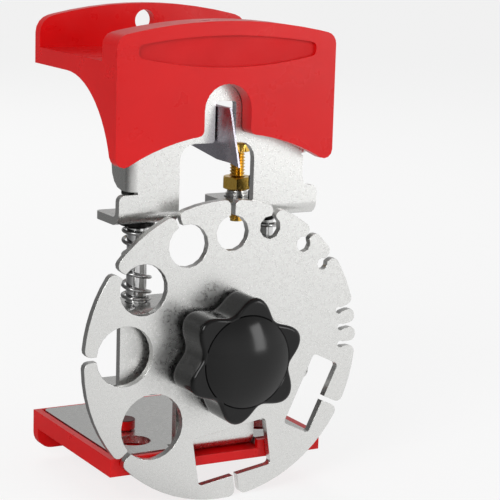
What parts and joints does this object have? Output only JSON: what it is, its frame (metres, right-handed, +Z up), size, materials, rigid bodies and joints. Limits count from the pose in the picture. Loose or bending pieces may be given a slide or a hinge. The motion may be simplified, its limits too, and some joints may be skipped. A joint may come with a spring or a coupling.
{
  "type": "wire stripping machine",
  "caption": "Hand-squeezed cable stripper: a sprung upper grip drives a blade down into a slotted selector disc that is clamped by a lobed knob, over a tray-like lower grip.",
  "frame": {"origin": "middle of the bounding box's base, level with the selector disc's lowest point", "axes": "+Z up along the guide posts, -Y to the front where the knob is, +X to the right seen from the front"},
  "size_m": [0.075, 0.0644, 0.1189],
  "materials": {
    "red_plastic": "satin moulded",
    "zinc_steel": "zinc plated, satin",
    "bright_steel": "polished",
    "black_steel": "blackened",
    "brass": "turned",
    "black_plastic": "gloss"
  },
  "bodies": {
    "base": {"lower_grip": "red_plastic", "lower_frame": "zinc_steel", "disc_spacer": "zinc_steel", "pivot_nut": "zinc_steel", "return_spring_left": "zinc_steel", "return_spring_right": "zinc_steel"},
    "carriage": {"upper_grip": "red_plastic", "upper_frame": "zinc_steel", "blade": "zinc_steel", "blade_bolt": "zinc_steel", "blade_washer": "zinc_steel", "blade_nut": "zinc_steel", "guide_post_left": "bright_steel", "guide_post_right": "bright_steel", "post_nut_left": "black_steel", "post_nut_right": "black_steel", "post_lock_nut_left": "black_steel", "post_lock_nut_right": "black_steel", "post_clip_left": "black_steel", "post_clip_right": "black_steel", "spring_washer_left": "black_steel", "spring_washer_right": "black_steel", "stop_collar": "zinc_steel"},
    "selector": {"selector_disc": "zinc_steel"},
    "knob": {"star_knob": "black_plastic", "knob_insert": "brass", "knob_washer": "zinc_steel", "pivot_stud": "zinc_steel"},
    "stop": {"stop_screw": "brass"},
    "lock": {"lock_nut": "brass"}
  },
  "joints": [
    {"name": "carriage_slide", "type": "slide", "parent": "base", "child": "carriage", "axis": [0, 0, 1], "range_m": [-0.013, 0], "stiffness_N_per_m": 2000, "springref_m": 0.006, "deforming": ["return_spring_left", "return_spring_right"]},
    {"name": "disc_turn", "type": "hinge", "parent": "base", "child": "selector", "pos_m": [0, -0.01775, 0.0375], "axis": [0, 1, 0], "continuous": true},
    {"name": "knob_turn", "type": "hinge", "parent": "base", "child": "knob", "pos_m": [0, -0.01775, 0.0375], "axis": [0, 1, 0], "continuous": true},
    {"name": "stop_screw_travel", "type": "slide", "parent": "carriage", "child": "stop", "axis": [0, 0, 1], "range_m": [-0.0015, 0.006]},
    {"name": "lock_nut_turn", "type": "hinge", "parent": "carriage", "child": "lock", "pos_m": [0.0166, 0.00855, 0.0688], "axis": [0, 0, 1], "continuous": true}
  ]
}
